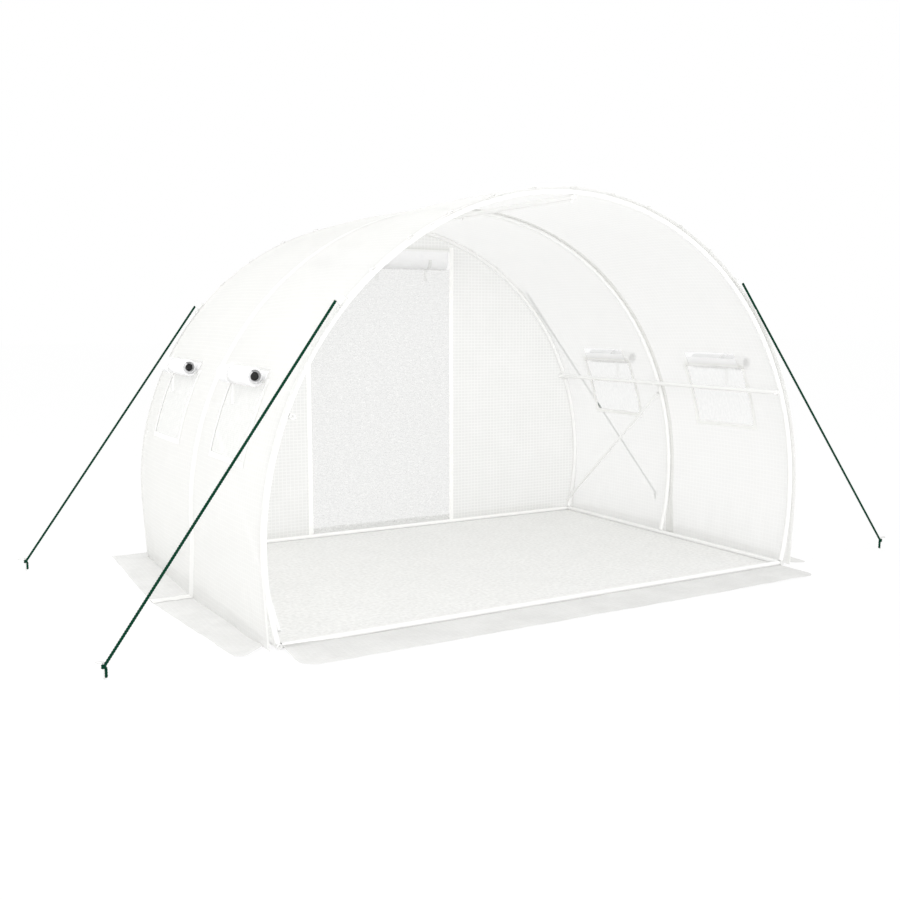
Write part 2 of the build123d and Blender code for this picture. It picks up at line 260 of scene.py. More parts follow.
def add_bolt(name, foot, way):
    """A flange, a hex nut and the end of the stud, standing on foot along way."""
    shape = bmesh.new()
    rim = flange_height / 2
    turned(shape, [(flange_radius, 0), (flange_radius, rim), (nut_width * 0.58, flange_height)], 24)
    nut = nut_width / math.sqrt(3)
    nut_top = flange_height + nut_height
    turned(shape, [(nut, flange_height), (nut, nut_top - 0.0008), (nut * 0.88, nut_top)], 6)
    stud_top = nut_top + stud_reach
    tip = (stud_radius * 0.7, stud_top + 0.0006)
    turned(shape, [(stud_radius, nut_top), (stud_radius, stud_top), tip], 12)
    stand(shape, foot, way)
    round_off(make_piece(name, shape, zinc_plate), 0.0004)


def add_plug(name, mouth, way):
    """A push-in plug with a small hole in it, set a little way into a rail's end."""
    shape = bmesh.new()
    bore = tube / 2 - tube_wall
    face = [(bore, 0.003), (bore * 0.92, 0.0038), (plug_hole, 0.0038)]
    turned(shape, [(bore, -0.022), *face, (plug_hole * 0.9, -0.02)], 32)
    stand(shape, mouth - Vector((0, way * plug_depth, 0)), (0, way, 0))
    make_piece(name, shape, white_tube)


for rail_name in long_rails:
    low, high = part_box(rail_name)
    centre = Vector(((low.x + high.x) / 2, 0, (low.z + high.z) / 2))
    for end_name, end_y, way in (("front", low.y, -1), ("rear", high.y, 1)):
        add_plug("plug_" + rail_name + "_" + end_name, centre + Vector((0, end_y, 0)), way)
    if "base" in rail_name:
        continue
    inward = (Vector((0, 0, axis_z)) - centre).normalized()
    for hoop_name, hoop_y in (("front", front_y), ("middle", 0), ("rear", rear_y)):
        foot = centre + inward * tube / 2 + Vector((0, hoop_y, 0))
        add_bolt("bolt_" + rail_name + "_" + hoop_name, foot, inward)


# Ground sheet. A thin woven sheet is laid inside the base frame. It is partly
# painted shade: it stands for the shade that the cover casts on the floor inside,
# while its woven grain is its own. It lies flat with low wrinkles, and its edges
# stop at the tubes.

def steps(start, end, size):
    """Even values from start to end, both included, about this far apart."""
    count = max(1, round(abs(end - start) / size))
    return [start + (end - start) * i / count for i in range(count + 1)]


def soft(x, y, z=0.0):
    """Smooth wandering between -1 and 1, the same on every run."""
    return noise.noise(Vector((x, y, z)))


def lay_cloth(name, widths, lengths, place, material, cut=None):
    """A sheet of cloth as a grid of points, which keeps its thread count in metres."""
    mesh = bpy.data.meshes.new(name)
    across = len(widths)
    faces = []
    for row in range(len(lengths) - 1):
        for column in range(across - 1):
            middle_u = (widths[column] + widths[column + 1]) / 2
            middle_v = (lengths[row] + lengths[row + 1]) / 2
            if cut is None or not cut(middle_u, middle_v):
                first = row * across + column
                faces.append((first, first + 1, first + across + 1, first + across))
    mesh.from_pydata([place(u, v) for v in lengths for u in widths], [], faces)
    threads = mesh.attributes.new("threads", "FLOAT_VECTOR", "POINT")
    threads.data.foreach_set("vector", [n for v in lengths for u in widths for n in (u, v, 0.0)])
    shape = bmesh.new()
    shape.from_mesh(mesh)
    bpy.data.meshes.remove(mesh)
    bmesh.ops.delete(shape, geom=[v for v in shape.verts if not v.link_faces], context="VERTS")
    return make_piece(name, shape, material)


def woven(name, shade, light, grid_open, film_open, grid_wide, grid_long, through=0.4, fleck=0.3):
    """Woven film: a grid of stiff threads with thin see-through film between them."""
    finish = Finish(name)
    threads, wide, long, pressed = finish.cloth_axes("X", "Y", "Z")
    wander = finish.cloud(threads, 0.05, 2) * 0.004
    across, along = (wide + wander).stripe(grid_wide, 0.0045), (long + wander).stripe(grid_long, 0.0045)
    ribs = across.math("MAXIMUM", along)
    tapes = wide.stripe(0.0032, 0.0016).math("MAXIMUM", long.stripe(0.0032, 0.0016))
    handling = finish.cloud(threads, 0.16, 4, 0.6)
    specks = finish.flecks(threads, 0.02)
    colour = finish.blend((1 - fleck) * finish.flecks(threads, 0.2) + fleck * specks, shade, light)
    relief = finish.bump(0.6 * ribs + 0.4 * tapes, 0.00012)
    face = finish.skin(colour, 0.46 + 0.16 * handling, {"Specular IOR Level": 0.35, "Normal": relief})
    film = ((1 - film_open) + (film_open - grid_open) * ribs + 0.03 * handling) * (1 - 0.93 * pressed)
    return finish.surface(finish.pierce(finish.let_through(face, shade, light, through), film))


# The sheet's tone is partly painted shade for the shaded floor inside.
ground_weave = woven(
    "ground_weave", (0.815, 0.815, 0.8), (0.97, 0.97, 0.955), 0.0, 0.03, 0.022, 0.022, 0.1, 0.85
)
sheet_low, sheet_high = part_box("ground_sheet")


def on_ground(x, y):
    """A point of the ground sheet, on low wrinkles that die out at its edges."""
    edge = min(sheet_high.x - abs(x), sheet_high.y - abs(y), 0.1) / 0.1
    wrinkle = 0.5 + 0.5 * soft(x * 2.3, y * 3.1, 4.2) + 0.35 * abs(soft(x * 9, y * 7, 1.1))
    return (x, y, 0.001 + 0.005 * edge * wrinkle)


ground_sheet = lay_cloth(
    "ground_cloth",
    steps(sheet_low.x, sheet_high.x, 0.03),
    steps(sheet_low.y, sheet_high.y, 0.03),
    on_ground,
    ground_weave,
)
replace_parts(ground_sheet, "ground_sheet")


# Skirts. The cover goes on past the foot of the walls in four loose flaps that
# lie on the ground, to be weighted or dug in. They are the cover's own cloth,
# cut in a curve along the sides, and they buckle where they turn the corners.

# The flaps' cloth is set darker than the cover's as painted shade, more on the
# front and left flaps than on the far two.
darker_shaded_skirt_weave = woven("darker_shaded_skirt_weave", (0.67, 0.67, 0.655), (0.77, 0.77, 0.755), 0.22, 0.25, 0.024, 0.02, 0.1)
lighter_shaded_skirt_weave = woven(
    "lighter_shaded_skirt_weave", (0.8, 0.8, 0.785), (0.87, 0.87, 0.855), 0.2, 0.22, 0.024, 0.02, 0.3
)
side_cut_front = 0.09
side_cut_rear = 0.05
side_cut_back = 0.145
skirt_turn = 0.06
skirt_grain = 0.015


def ripple(x, y):
    """Height of a loose flap above the ground: long buckles with finer ones on them."""
    near_corner = math.exp(-((abs(x) - 1.6) ** 2 + (abs(y) - 1.0) ** 2) / 0.16)
    long_fold = max(0.0, soft(x * 3.4, y * 3.4, 2.0)) * (0.008 + 0.016 * near_corner)
    short_fold = abs(soft(x * 13, y * 13, 7.0)) * 0.004
    return 0.0012 + long_fold + short_fold


def skirt_side(low, high, side):
    """A side flap: its outer edge swells at the middle, and its front end is cut back."""
    inner = abs(low.x if side > 0 else high.x)
    outer = abs(high.x if side > 0 else low.x)

    def outline(u, v):
        y = low.y + (high.y - low.y) * v
        cut = side_cut_front if y < 0 else side_cut_rear
        reach = inner + (outer - cut * abs(y) / high.y - inner) * u
        cut_back = side_cut_back * (1 - u) * max(0.0, 1 - v * 6)
        turned = skirt_turn * max(0.0, u - 0.7) ** 2 / 0.09 * max(0.0, 1 - v * 8)
        return (side * reach, y + cut_back + turned, ripple(side * reach, y))

    return outline


def skirt_end(low, high, direction):
    """An end flap: straight along the tunnel's end, with rounded corners."""

    def outline(u, v):
        x, y = low.x + (high.x - low.x) * u, low.y + (high.y - low.y) * v
        toward = (high.y - y if direction < 0 else y - low.y) / (high.y - low.y)
        half = (high.x - low.x) / 2
        x *= 1 - skirt_turn / half * (max(0.0, toward - 0.75) / 0.25) ** 2
        return (x, y, ripple(x, y))

    return outline


for skirt_name in ("left_skirt", "right_skirt", "front_skirt", "rear_skirt"):
    low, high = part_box(skirt_name)
    wide, long = high.x - low.x, high.y - low.y
    if wide < long:
        outline = skirt_side(low, high, math.copysign(1, low.x))
    else:
        outline = skirt_end(low, high, math.copysign(1, low.y))
    flap = lay_cloth(
        skirt_name + "_cloth",
        steps(0, 1, skirt_grain / wide),
        steps(0, 1, skirt_grain / long),
        outline,
        darker_shaded_skirt_weave if skirt_name in ("left_skirt", "front_skirt") else lighter_shaded_skirt_weave,
    )
    for thread, point in zip(flap.data.attributes["threads"].data, flap.data.vertices):
        thread.vector = (point.co.x, point.co.y, 0)
    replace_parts(flap, skirt_name)


# Cover. Two bays of grid-woven film lie over the hoops, swell a little between
# them, and drop straight from the widest point of the hoops to the ground. Each
# bay has a window opening in either side.

cover_low, cover_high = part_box("cover_front_bay")
cover_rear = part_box("cover_rear_bay")[1].y
seam_low, seam_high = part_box("middle_seam_band")
cover_out = hoop_out + 0.0013
fullness = cover_high.z - axis_z - cover_out - 0.001
bay = rear_y
seam_half = seam_high.y
turn = math.radians(94)
foot_end, foot_bay, foot_middle = 1.546, 1.567, 1.581
arc_run = cover_out * turn
leg_run = 0.311
half_run = arc_run + leg_run
window_wide = 0.44
window_low_run = cover_out * math.radians(90 - 12.6)
window_high_run = cover_out * math.radians(90 - 25.4)
cover_weave = woven(
    "cover_weave", (0.895, 0.895, 0.883), (0.922, 0.922, 0.91), 0.21, 0.24, 0.024, 0.026, 0.6
)

# Where the rolled flaps lie on the cloth: the middle of the strip round the
# tunnel and half its width, for the left and the right side.
rest_low, rest_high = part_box("window_left_front_roll")
rest_rise = (rest_low.z + rest_high.z) / 2 - axis_z
rest_run = cover_out * math.atan2(-(rest_low.x + rest_high.x) / 2, rest_rise)
touch_zones = {-1: (rest_run - 0.018, 0.04), 1: (rest_run - 0.03, 0.054)}
touch_reach = (rest_high.y - rest_low.y) / 2 - 0.02
zone_edge = (-0.002, 0.002)


def touching(run, y):
    """1 where a rolled-up flap presses on the cloth and shows clearly through it."""
    middle, half = touch_zones[math.copysign(1, run)]
    return float(abs(abs(run) - middle) < half and abs(abs(y) - bay / 2) < touch_reach)


def bay_share(y):
    """0 under the middle seam, 1 at an end hoop."""
    return min(1.0, max(0.0, (abs(y) - seam_half) / (bay - seam_half)))


def foot_x(y):
    """How far out the wall meets the ground: most at the middle hoop, least at the ends."""
    share = bay_share(y)
    bend = 2 * (foot_end - 2 * foot_bay + foot_middle)
    return foot_middle + (foot_end - foot_middle - bend) * share + bend * share * share


def swell(y):
    """How far the cloth stands out between its hoops."""
    return fullness * (1 - (2 * bay_share(y) - 1) ** 2)


def pull(run, y):
    """Creases: slack between the hoops, puckers beside them, and folds at the foot."""
    reach = min(abs(y), abs(abs(y) - bay))
    free = min(1.0, reach / 0.16)
    slack = 0.005 * soft(run * 1.6, y * 1.9, 3.1) * free
    pucker = 0.0028 * abs(soft(run * 20, y * 3.5, 7.7)) * math.exp(-reach / 0.1)
    packed = 0.0014 * soft(run * 5.5, y * 6.5, 12.4) * free
    low = min(1.0, max(0.0, (abs(run) - arc_run + 0.3) / 0.5))
    foot = 0.007 * soft(y * 9.0, run * 1.3, 1.9 + math.copysign(4, run)) * low * min(1.0, reach / 0.1)
    return slack + pucker + packed + foot


def over_tunnel(run, y, proud=0.0):
    """The point of the cover this far round from the crown, at this place along it."""
    side = math.copysign(1, run)
    lift = proud + pull(run, y)
    radius = cover_out + swell(y) + lift
    angle = min(abs(run), arc_run) / cover_out
    x, z = radius * math.sin(angle), axis_z + radius * math.cos(angle)
    if abs(run) > arc_run:
        share = (abs(run) - arc_run) / leg_run
        x += (foot_x(y) + lift - x) * share
        z += (0.002 - z) * share
    return (side * x, y, z)


def in_window(run, y):
    """Inside a window's opening."""
    return window_high_run < abs(run) < window_low_run and abs(abs(y) - bay / 2) < window_wide / 2


def runs_between(low, high, size):
    """Places round the tunnel, with one on each edge of the window openings."""
    edges = []
    for side, (middle, half) in touch_zones.items():
        zone = [middle + end * half + gap for end in (-1, 1) for gap in zone_edge]
        edges += [side * place for place in (window_low_run, window_high_run, *zone)]
    marks = [low, high] + [edge for edge in edges if low < edge < high]
    marks.sort()
    places = []
    for first, last in zip(marks, marks[1:]):
        places += steps(first, last, size)[:-1]
    return places + [high]


for bay_name, start, end in (("front", cover_low.y, 0.0), ("rear", 0.0, cover_rear)):
    middle = bay / 2 if bay_name == "rear" else -bay / 2
    lengths = []
    marks = [start, end]
    for side in (-1, 1):
        marks.append(middle + side * window_wide / 2)
        marks += [middle + side * touch_reach + gap for gap in zone_edge]
    marks.sort()
    for first, last in zip(marks, marks[1:]):
        lengths += steps(first, last, 0.02)[:-1]
    lengths.append(end)
    cover = lay_cloth(
        "cover_cloth_" + bay_name,
        runs_between(-half_run, half_run, 0.025),
        lengths,
        over_tunnel,
        cover_weave,
        cut=in_window,
    )
    for thread in cover.data.attributes["threads"].data:
        run, y = thread.vector[0], thread.vector[1]
        thread.vector = (run, y, touching(run, y))
    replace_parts(cover, "cover_" + bay_name + "_bay")
    wide, long = end - start, 2 * half_run
    openings = 2 * window_wide * (window_low_run - window_high_run)
    wide * long - openings


# Seam and hems. White webbing is sewn over the middle hoop, with thin tape behind
# it, and along both end edges of the cover. Ties in small loops hold the hems to
# their hoops, and the front hem stands up a little at the crown.

hem_front, hem_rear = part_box("front_hem"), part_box("rear_hem")


def webbing(name, shade, light, through, open_share=0.0):
    """Close woven tape: fine ribs across it, and soft mottling in its colour."""
    finish = Finish(name)
    threads, wide, long = finish.cloth_axes("X", "Y")
    ribs = wide.stripe(0.0022, 0.0013) * (0.6 + 0.4 * long.stripe(0.0022, 0.0013))
    handling = finish.cloud(threads, 0.05, 4, 0.6)
    colour = finish.blend(handling, shade, light)
    others = {"Specular IOR Level": 0.3, "Sheen Weight": 0.15, "Normal": finish.bump(ribs, 0.0002)}
    face = finish.skin(colour, 0.62 + 0.16 * handling, others)
    return finish.surface(finish.pierce(finish.let_through(face, shade, light, through), 1 - open_share))


white_webbing = webbing("white_webbing", (0.9, 0.9, 0.888), (0.955, 0.955, 0.945), 0.2, 0.06)
hem_webbing = webbing("hem_webbing", (0.92, 0.92, 0.91), (0.97, 0.97, 0.96), 0.5, 0.1)
strap_webbing = webbing("strap_webbing", (0.9, 0.9, 0.89), (0.96, 0.96, 0.95), 0.3, 0.35)
skirt_webbing = webbing("skirt_webbing", (0.86, 0.86, 0.84), (0.94, 0.94, 0.92), 0.1)
inner_tape = webbing("inner_tape", (0.93, 0.93, 0.91), (0.98, 0.98, 0.97), 0.12)
seam_webbing = webbing("seam_webbing", (0.93, 0.93, 0.92), (0.98, 0.98, 0.97), 0.35, 0.12)
seam_tape = webbing("seam_tape", (0.95, 0.95, 0.94), (0.98, 0.98, 0.97), 0.8, 0.75)
crown_lift_run = -0.16
tie_count, tie_pitch = 13, 0.23
tie_long, tie_wide, tie_high = 0.03, 0.014, 0.008
tie_bends = 8


def hem_place(run, y):
    """The front hem: over the hoop, then standing up a little at the crown."""
    loose = max(0.0, (-bay - y) / 0.03)
    lift = 0.011 * loose * math.exp(-(((run - crown_lift_run) / 0.3) ** 2))
    flutter = 0.0015 * loose * soft(run * 7, 2.2)
    return over_tunnel(run, y, 0.0018 + lift + flutter)


def seam_strip(side_name, side):
    """The middle seam goes on over the skirt to its edge."""
    return lay_cloth(
        "seam_on_skirt_" + side_name,
        steps(foot_middle + 0.004, seam_high.x, 0.012),
        steps(-seam_half, seam_half, 0.0175),
        lambda x, y: (side * x, y, ripple(side * x, y) + 0.0022),
        skirt_webbing,
    )


def thicken(piece):
    """Gives doubled tape its thickness."""
    wall = piece.modifiers.new("thickness", "SOLIDIFY")
    wall.thickness = 0.002
    wall.offset = 0


def tie_loops(name, y):
    """Small loops of tape that stand up from a hem, with the ties that hold it to its hoop."""
    shape = bmesh.new()
    for number in range(tie_count):
        middle = (number - (tie_count - 1) / 2) * tie_pitch
        rows = []
        for share in steps(0, 1, 1 / tie_bends):
            run = middle + (share - 0.5) * tie_long
            rise = 0.003 + tie_high * math.sin(math.pi * share) ** 0.7
            across = (-tie_wide / 2, 0, tie_wide / 2)
            rows.append([shape.verts.new(over_tunnel(run, y + w, rise)) for w in across])
        for before, after in zip(rows, rows[1:]):
            for k in range(2):
                shape.faces.new((before[k], before[k + 1], after[k + 1], after[k]))
    loops = make_piece(name, shape, hem_webbing)
    thicken(loops)
    return loops


seam_lining = lay_cloth(
    "middle_seam_lining",
    steps(-half_run, half_run, 0.02),
    steps(seam_low.y, seam_high.y, 0.008),
    lambda run, y: over_tunnel(run, y, -0.0008),
    seam_tape,
)
sewn_on = {
    "middle_seam_band": [seam_lining, seam_strip("left", -1), seam_strip("right", 1)],
    "front_hem": [tie_loops("front_hem_ties", (hem_front[0].y + hem_front[1].y) / 2)],
    "rear_hem": [tie_loops("rear_hem_ties", (hem_rear[0].y + hem_rear[1].y) / 2)],
}
for band_name, low, high, place in (
    ("middle_seam_band", seam_low.y, seam_high.y, lambda run, y: over_tunnel(run, y, 0.0018)),
    ("front_hem", hem_front[0].y, hem_front[1].y, hem_place),
    ("rear_hem", hem_rear[0].y, hem_rear[1].y, lambda run, y: over_tunnel(run, y, 0.0018)),
):
    band = lay_cloth(
        band_name + "_webbing",
        steps(-half_run, half_run, 0.02),
        steps(low, high, 0.008),
        place,
        seam_webbing if band_name == "middle_seam_band" else hem_webbing,
    )
    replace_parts(band, band_name)
    2 * half_run


# Windows. A mesh screen is sewn into each opening behind a white binding. Its
# flap hangs from above the window, is rolled up outwards with a black disc in
# either end as painted shade for the roll's dark bore, and is tied near its
# middle with one strap whose end hangs down.

binding_wide = 0.025
roll_strap_wide = 0.025
roll_turns = 1.6
roll_core = 0.03
roll_pinch = 0.014
flap_tail = 0.045
tail_length = 0.09
tail_slit = 0.0005
strap_offset = 0.05


def insect_mesh(name, shade, light, open_share, uneven):
    """Fine knotted mesh: much more air than thread, seen as a light grey veil."""
    finish = Finish(name)
    threads, wide, long, pressed = finish.cloth_axes("X", "Y", "Z")
    wander = finish.cloud(threads, 0.03, 2) * 0.003
    net = (wide + wander).stripe(0.009, 0.0035).math("MAXIMUM", (long + wander).stripe(0.009, 0.0035))
    drawn = finish.node("VectorMath", {"operation": "MULTIPLY"}, {0: threads, 1: (0.45, 1, 1)})
    patches = finish.flecks(drawn, 0.014)
    colour = finish.blend(patches, shade, light)
    face = finish.skin(colour, 0.7, {"Specular IOR Level": 0.2, "Normal": finish.bump(net, 0.0004)})
    share = ((1 - open_share) + uneven * (net + patches)) * (1 - 0.9 * pressed)
    return finish.surface(finish.pierce(face, share))


window_mesh = insect_mesh("window_mesh", (0.79, 0.795, 0.785), (0.84, 0.84, 0.83), 0.7, 0.04)
# Flap cloth, set lighter than the cover's: painted light for the pale rolls.
lit_flap_cloth = webbing("lit_flap_cloth", (0.92, 0.92, 0.925), (0.965, 0.965, 0.97), 0.15)


def bore_shade_finish():
    """A matt black disc in each rolled flap's end: painted shade for the roll's dark bore, faintly mottled.
    """
    finish = Finish("bore_shade_black")
    grain = finish.cloud(finish.place(), 0.002, 3)
    mottle = finish.cloud(finish.place(), 0.02, 3)
    colour = finish.blend(mottle, (0.008, 0.008, 0.008), (0.02, 0.02, 0.02))
    others = {"Specular IOR Level": 0.2, "Normal": finish.bump(grain, 0.0001)}
    return finish.surface(finish.skin(colour, 0.5 + 0.2 * grain, others))


bore_shade_black = bore_shade_finish()


def frame_steps(low, high):
    """Places across an opening and the binding on either side of it."""
    inside = steps(low, high, 0.02)[1:]
    return steps(low - binding_wide, low, 0.0125) + inside + steps(high, high + binding_wide, 0.0125)[1:]


def roll_columns(middle, reach):
    """Places along a roll, closer together where its ends are gathered in."""
    pinched = [reach - roll_pinch * i / 5 for i in range(5)]
    plain = steps(middle - reach + roll_pinch, middle + reach - roll_pinch, 0.012)
    return [middle - p for p in pinched] + plain + [middle + p for p in reversed(pinched)]


for window_name in ("left_front", "left_rear", "right_front", "right_rear"):
    node = "window_" + window_name
    side = -1 if window_name.startswith("left") else 1
    middle = -bay / 2 if window_name.endswith("front") else bay / 2
    edges = sorted((side * window_high_run, side * window_low_run))
    sides = (middle - window_wide / 2, middle + window_wide / 2)

    screen = lay_cloth(
        node + "_mesh",
        steps(edges[0] - 0.006, edges[1] + 0.006, 0.02),
        steps(sides[0] - 0.006, sides[1] + 0.006, 0.02),
        lambda run, y: over_tunnel(run, y, -0.0008),
        window_mesh,
    )
    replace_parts(screen, node + "_screen")

    binding = lay_cloth(
        node + "_tape",
        frame_steps(*edges),
        frame_steps(*sides),
        lambda run, y: over_tunnel(run, y, 0.0016),
        white_webbing,
        cut=in_window,
    )
    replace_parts(binding, node + "_binding")
    lining = lay_cloth(
        node + "_inner_tape",
        frame_steps(*edges),
        frame_steps(*sides),
        lambda run, y: over_tunnel(run, y, -0.0016),
        inner_tape,
        cut=lambda run, y: in_window(run, y) or abs(run) < window_high_run,
    )
    edges[1] - edges[0] + 0.012
    "cover_cloth_" + window_name.split("_")[1]

    low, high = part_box(node + "_roll")
    roll_x, roll_z = (low.x + high.x) / 2, (low.z + high.z) / 2
    roll_radius = (high.z - low.z) / 2 - 0.001
    out = Vector((roll_x, 0, roll_z - axis_z)).normalized()
    up = Vector((-out.z, 0, out.x)) * side
    roll_end = (high.y - low.y) / 2
    wound = math.tau * roll_turns
    wound_run = wound * (roll_radius + roll_core) / 2
    roll_gap = (roll_radius - roll_core) / roll_turns
    strap_y = middle - side * strap_offset

    def wind(s, y):
        """Across the rolled flap: s metres down from its seam, then round and round inwards."""
        tied = math.exp(-(((y - strap_y) / 0.03) ** 2))
        pinch = max(0.0, 1 - (roll_end - 0.004 - abs(y - middle)) / roll_pinch) ** 0.6
        slack = 0.0016 * soft(s * 9, (y - middle) * 5 + side, middle)
        if s < flap_tail:
            lean = 0.02 * roll_radius * (1 - s / flap_tail) ** 2
            point = out * (-roll_radius - lean) + up * (flap_tail - s)
        else:
            share = (s - flap_tail) / wound_run
            radius = roll_radius + (roll_core - roll_radius) * share
            radius = radius * (1 - 0.07 * tied) + slack * (1 - pinch) - roll_gap * pinch
            angle = math.pi + wound * share
            point = out * (radius * math.cos(angle)) + up * (radius * math.sin(angle))
        shift = 0.0015 * soft(s * 14, 5.5, side + middle) * abs(y - middle) / roll_end
        return (roll_x + point.x, y + shift, roll_z + point.z)

    roll = lay_cloth(
        node + "_flap",
        steps(0, flap_tail + wound_run, 0.006),
        roll_columns(middle, roll_end - 0.004),
        wind,
        lit_flap_cloth,
    )
    # Each end of the roll holds a black disc: painted shade for its dark bore.
    for end_name, end in (("front", -1), ("rear", 1)):
        shape = bmesh.new()
        shade_disc_radius = roll_core - roll_gap
        turned(shape, [(shade_disc_radius, 0), (shade_disc_radius, 0.004), (shade_disc_radius * 0.93, 0.0055), (shade_disc_radius * 0.3, 0.005)], 32)
        stand(shape, Vector((roll_x, middle + end * (roll_end - 0.016), roll_z)), (0, end, 0))
        make_piece(node + "_plug_" + end_name, shape, bore_shade_black)
    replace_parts(roll, node + "_roll")
    "cover_cloth_" + window_name.split("_")[1]

    one_turn = math.tau * roll_radius

    def strap_round(s, y):
        """The strap goes once round the roll, and its end hangs from the underside."""
        radius = roll_radius * 0.93 + 0.0025
        if s <= one_turn:
            angle = math.pi + s / roll_radius
            point = out * (radius * math.cos(angle)) + up * (radius * math.sin(angle))
            return (roll_x + point.x, y, roll_z + point.z)
        drop = s - one_turn
        swing = side * (0.012 + 0.006 * drop / tail_length)
        return (roll_x + swing, y, roll_z - radius - 0.0015 - drop)

    strap = lay_cloth(
        node + "_strap",
        steps(0, one_turn, 0.007) + steps(one_turn + tail_slit, one_turn + tail_length, 0.01),
        steps(strap_y - roll_strap_wide / 2, strap_y + roll_strap_wide / 2, 0.006),
        strap_round,
        strap_webbing,
        cut=lambda s, y: one_turn < s < one_turn + tail_slit,
    )
    node + "_flap"


# Rear wall. A flat end panel of the cover's cloth closes the tunnel behind the
# last hoop. Its doorway holds a mesh screen with a zip up each side, and the
# solid door flap is rolled up outside under the header and tied with straps.

wall_low, wall_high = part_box("rear_wall")
door_low, door_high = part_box("rear_door_screen")
wall_out = wall_high.z - axis_z
wall_y = (wall_low.y + wall_high.y) / 2
door_half = door_high.x + 0.0003
door_top = door_high.z
flap_low, flap_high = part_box("rear_door_roll")
door_roll_low = flap_low.z + 0.004
door_roll_reach = flap_high.x - 0.004
# The end panel's cloth is set darker than the cover's: painted shade.
shaded_rear_weave = woven(
    "shaded_rear_weave", (0.79, 0.795, 0.775), (0.86, 0.86, 0.845), 0.16, 0.25, 0.026, 0.021, 0.55
)


def wall_edge(z):
    """Half the width of the end panel at this height."""
    turn_z = axis_z + wall_out * math.cos(turn)
    if z < turn_z:
        foot = foot_end + 0.001
        return foot + (wall_out * math.sin(turn) - foot) * max(0.0, z - 0.002) / (turn_z - 0.002)
    return math.sqrt(max(0.0, wall_out ** 2 - (z - axis_z) ** 2))


def hang(x, z):
    """The end panel hangs in slack folds between its edges and its door."""
    rim = min(1.0, (wall_edge(z) - abs(x)) / 0.12)
    slow = 0.006 * soft(x * 1.8, z * 1.4, 8.1)
    quick = 0.0025 * soft(x * 8, z * 2.2, 2.6)
    return wall_y + rim * (slow + quick)


door_share = door_half / wall_edge(door_top)


def on_wall(u, z):
    """A point of the end panel: u is -2 and 2 at its edges, and -1 and 1 beside the door."""
    edge = wall_edge(min(z, wall_high.z - 0.002))
    doorway = door_half if z <= door_top else door_share * edge
    side = math.copysign(1, u)
    x = u * doorway if abs(u) <= 1 else side * (doorway + (abs(u) - 1) * (edge - doorway))
    return (x, hang(x, z), min(z, wall_high.z - 0.002))


side_columns = steps(-2, -1, 0.03)
rear_wall = lay_cloth(
    "rear_wall_cloth",
    side_columns + steps(-1, 1, 0.04)[1:-1] + steps(1, 2, 0.03),
    steps(wall_low.z, door_top, 0.03) + steps(door_top, wall_high.z - 0.003, 0.02)[1:],
    on_wall,
    shaded_rear_weave,
    cut=lambda u, z: abs(u) < 1 and z < door_top,
)
for thread, point in zip(rear_wall.data.attributes["threads"].data, rear_wall.data.vertices):
    thread.vector = (point.co.x, point.co.z, 0)
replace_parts(rear_wall, "rear_wall")
door_mesh = insect_mesh("door_mesh", (0.47, 0.475, 0.46), (0.7, 0.7, 0.69), 0.81, 0.18)
door_screen = lay_cloth(
    "rear_door_mesh",
    steps(-door_half, door_half, 0.03),
    steps(door_low.z, door_roll_low, 0.03) + steps(door_roll_low + 0.003, door_top, 0.03),
    lambda x, z: (x, hang(x, z) - 0.001, z),
    door_mesh,
)
for thread in door_screen.data.attributes["threads"].data:
    x, z = thread.vector[0], thread.vector[1]
    thread.vector = (x, z, float(z > door_roll_low and abs(x) < door_roll_reach))
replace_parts(door_screen, "rear_door_screen")


# Zips of the door. Woven tape is sewn up each side of the doorway, with a row of
# moulded plastic teeth down its middle and a metal slider near the foot. A plain
# tape is sewn along the header.

zip_tape_wide = 0.03
tooth_pitch = 0.006
tooth_size = (0.0052, 0.0022, 0.0034)


def moulded(name, shade, light):
    """Moulded white plastic, faintly mottled and a little glossy."""
    finish = Finish(name)
    patches = finish.cloud(finish.place(), 0.01, 3)
    colour = finish.blend(patches, shade, light)
    face = finish.skin(colour, 0.35 + 0.15 * patches)
    return finish.surface(finish.let_through(face, shade, light, 0.5))


zip_plastic = moulded("zip_plastic", (0.9, 0.9, 0.89), (0.96, 0.96, 0.95))


def block(shape, centre, size):
    """Adds a small block to the mesh."""
    made = bmesh.ops.create_cube(shape, size=1.0)["verts"]
    bmesh.ops.scale(shape, vec=size, verts=made)
    bmesh.ops.translate(shape, vec=centre, verts=made)


for tape_name, edge_x in (("left", -door_half), ("right", door_half)):
    tape = lay_cloth(
        "door_zip_tape_" + tape_name,
        steps(edge_x - zip_tape_wide / 2, edge_x + zip_tape_wide / 2, 0.01),
        steps(wall_low.z, door_top + 0.02, 0.03),
        lambda x, z: (x, hang(x, z) - 0.0018, z),
        inner_tape,
    )
    teeth = bmesh.new()
    for z in steps(wall_low.z + 0.02, door_top, tooth_pitch):
        shift = 0.0008 if round(z / tooth_pitch) % 2 else -0.0008
        block(teeth, (edge_x + shift, hang(edge_x, z) + 0.0032, z), tooth_size)
    make_piece("door_zip_teeth_" + tape_name, teeth, zip_plastic)
    grip = bmesh.new()
    slider_z = wall_low.z + 0.06
    block(grip, (edge_x, hang(edge_x, slider_z) + 0.006, slider_z), (0.012, 0.006, 0.014))
    block(grip, (edge_x, hang(edge_x, slider_z) + 0.0085, slider_z - 0.018), (0.006, 0.0016, 0.034))
    round_off(make_piece("door_zip_slider_" + tape_name, grip, zinc_plate), 0.0007)

# The header's tape.
header = lay_cloth(
    "door_header_tape",
    steps(-door_half, door_half, 0.03),
    steps(door_top - 0.012, door_top + 0.016, 0.007),
    lambda x, z: (x, hang(x, z) + 0.0018, z),
    white_webbing,
)
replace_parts(header, "rear_door_binding")


# Door flap. The solid flap of the cover's cloth hangs from the header outside
# the mesh. It is rolled up tight and held there by three straps of webbing,
# each of which goes once round it and ends in a loose tail.

